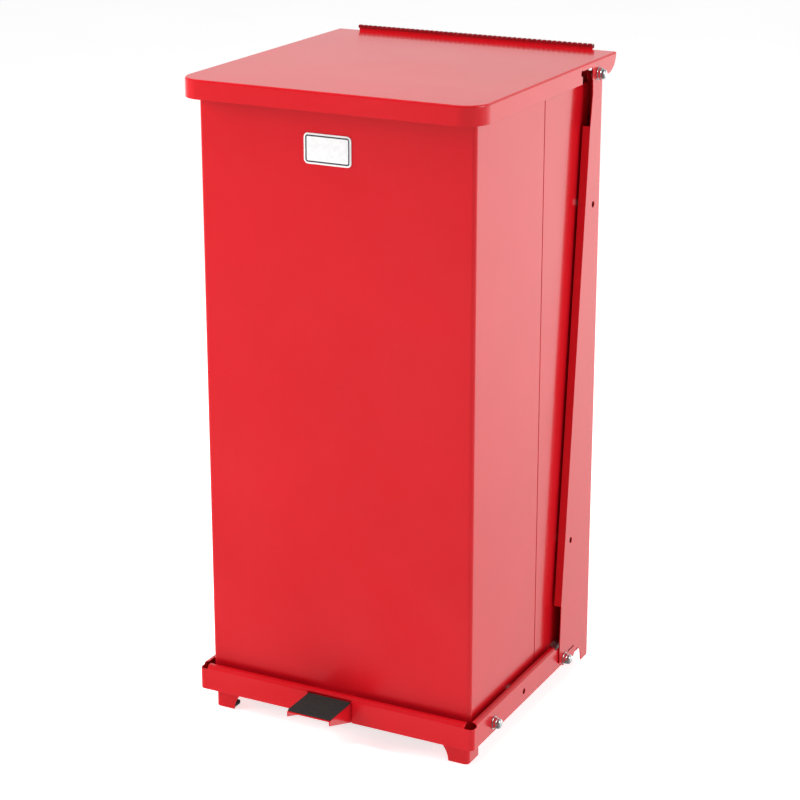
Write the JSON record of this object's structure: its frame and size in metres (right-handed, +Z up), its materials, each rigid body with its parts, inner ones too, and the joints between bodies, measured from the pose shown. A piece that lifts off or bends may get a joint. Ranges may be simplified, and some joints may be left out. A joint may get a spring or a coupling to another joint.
{
  "type": "pedal-operated waste can",
  "caption": "Square sheet-steel step can for oily waste: low base frame with feet, rear channel, hinged flat lid, pedal lever, two lift rods and a lift-out liner.",
  "frame": {"origin": "on the floor under the middle of the bounding box", "axes": "+Z up; the front with the pedal faces -Y, the rear channel faces +Y, +X is the can's right side seen from the front"},
  "size_m": [0.387, 0.4174, 0.7686],
  "materials": {
    "red_enamel": "glossy baked enamel",
    "chrome": "polished",
    "zinc_plate": "zinc plated",
    "galvanised": "galvanised, spangled",
    "black_rubber": "matt, fine grip texture",
    "red_vinyl": "satin, cross-notched",
    "nylon": "natural",
    "badge": "blank plate"
  },
  "bodies": {
    "base": {"base_frame": "red_enamel", "foot_front_right": "red_enamel", "foot_front_left": "red_enamel", "foot_rear_right": "red_enamel", "foot_rear_left": "red_enamel", "foot_sole_front_right": "black_rubber", "foot_sole_front_left": "black_rubber", "foot_sole_rear_right": "black_rubber", "foot_sole_rear_left": "black_rubber", "body_front_shell": "red_enamel", "body_rear_shell": "red_enamel", "body_floor_pan": "galvanised", "name_plate": "badge", "rear_channel": "red_enamel", "hinge_bolt_right": "zinc_plate", "hinge_bolt_left": "zinc_plate", "hinge_cap_nut_right": "chrome", "hinge_cap_nut_left": "chrome", "hinge_washer_right": "nylon", "hinge_washer_left": "nylon", "pivot_bolt_right": "zinc_plate", "pivot_bolt_left": "zinc_plate", "pivot_cap_nut_right": "chrome", "pivot_cap_nut_left": "chrome", "pivot_spacer_right": "zinc_plate", "pivot_spacer_left": "zinc_plate", "pivot_bush_right": "nylon", "pivot_bush_left": "nylon", "channel_bolt_right": "zinc_plate", "channel_bolt_left": "zinc_plate", "channel_cap_nut_right": "chrome", "channel_cap_nut_left": "chrome", "channel_spacer_right": "zinc_plate", "channel_spacer_left": "zinc_plate", "rod_guide_right": "zinc_plate", "rod_guide_left": "zinc_plate", "rod_bush_right": "nylon", "rod_bush_left": "nylon", "liner": "galvanised"},
    "lid": {"lid_shell": "red_enamel", "lid_rear_trim": "red_vinyl", "lift_bracket_right": "zinc_plate", "lift_bracket_left": "zinc_plate", "lift_pin_right": "zinc_plate", "lift_pin_left": "zinc_plate", "lid_buffer_right": "black_rubber", "lid_buffer_left": "black_rubber"},
    "pedal": {"lever_arm_right": "zinc_plate", "lever_arm_left": "zinc_plate", "lever_front_bar": "zinc_plate", "lever_rear_bar": "zinc_plate", "pedal_plate": "red_enamel", "pedal_bracket": "zinc_plate", "pedal_pad": "black_rubber"},
    "rod_right": {"lift_rod_right": "zinc_plate", "rod_head_right": "zinc_plate"},
    "rod_left": {"lift_rod_left": "zinc_plate", "rod_head_left": "zinc_plate"}
  },
  "joints": [
    {"name": "lid_hinge", "type": "hinge", "parent": "base", "child": "lid", "pos_m": [0, 0.152, 0.745], "axis": [-1, 0, 0], "range_deg": [0, 62]},
    {"name": "pedal_pivot", "type": "hinge", "parent": "base", "child": "pedal", "pos_m": [0, -0.103, 0.0387], "axis": [1, 0, 0], "range_deg": [0, 13.1]},
    {"name": "rod_slide_right", "type": "slide", "parent": "base", "child": "rod_right", "axis": [0, 0, 1], "range_m": [0, 0.051]},
    {"name": "rod_slide_left", "type": "slide", "parent": "base", "child": "rod_left", "axis": [0, 0, 1], "range_m": [0, 0.051]}
  ],
  "couplings": [
    {"joint": "pedal_pivot", "follows": "lid_hinge", "ratio": 0.2097},
    {"joint": "rod_slide_right", "follows": "lid_hinge", "m_per_rad": 0.0463},
    {"joint": "rod_slide_left", "follows": "lid_hinge", "m_per_rad": 0.0463}
  ]
}
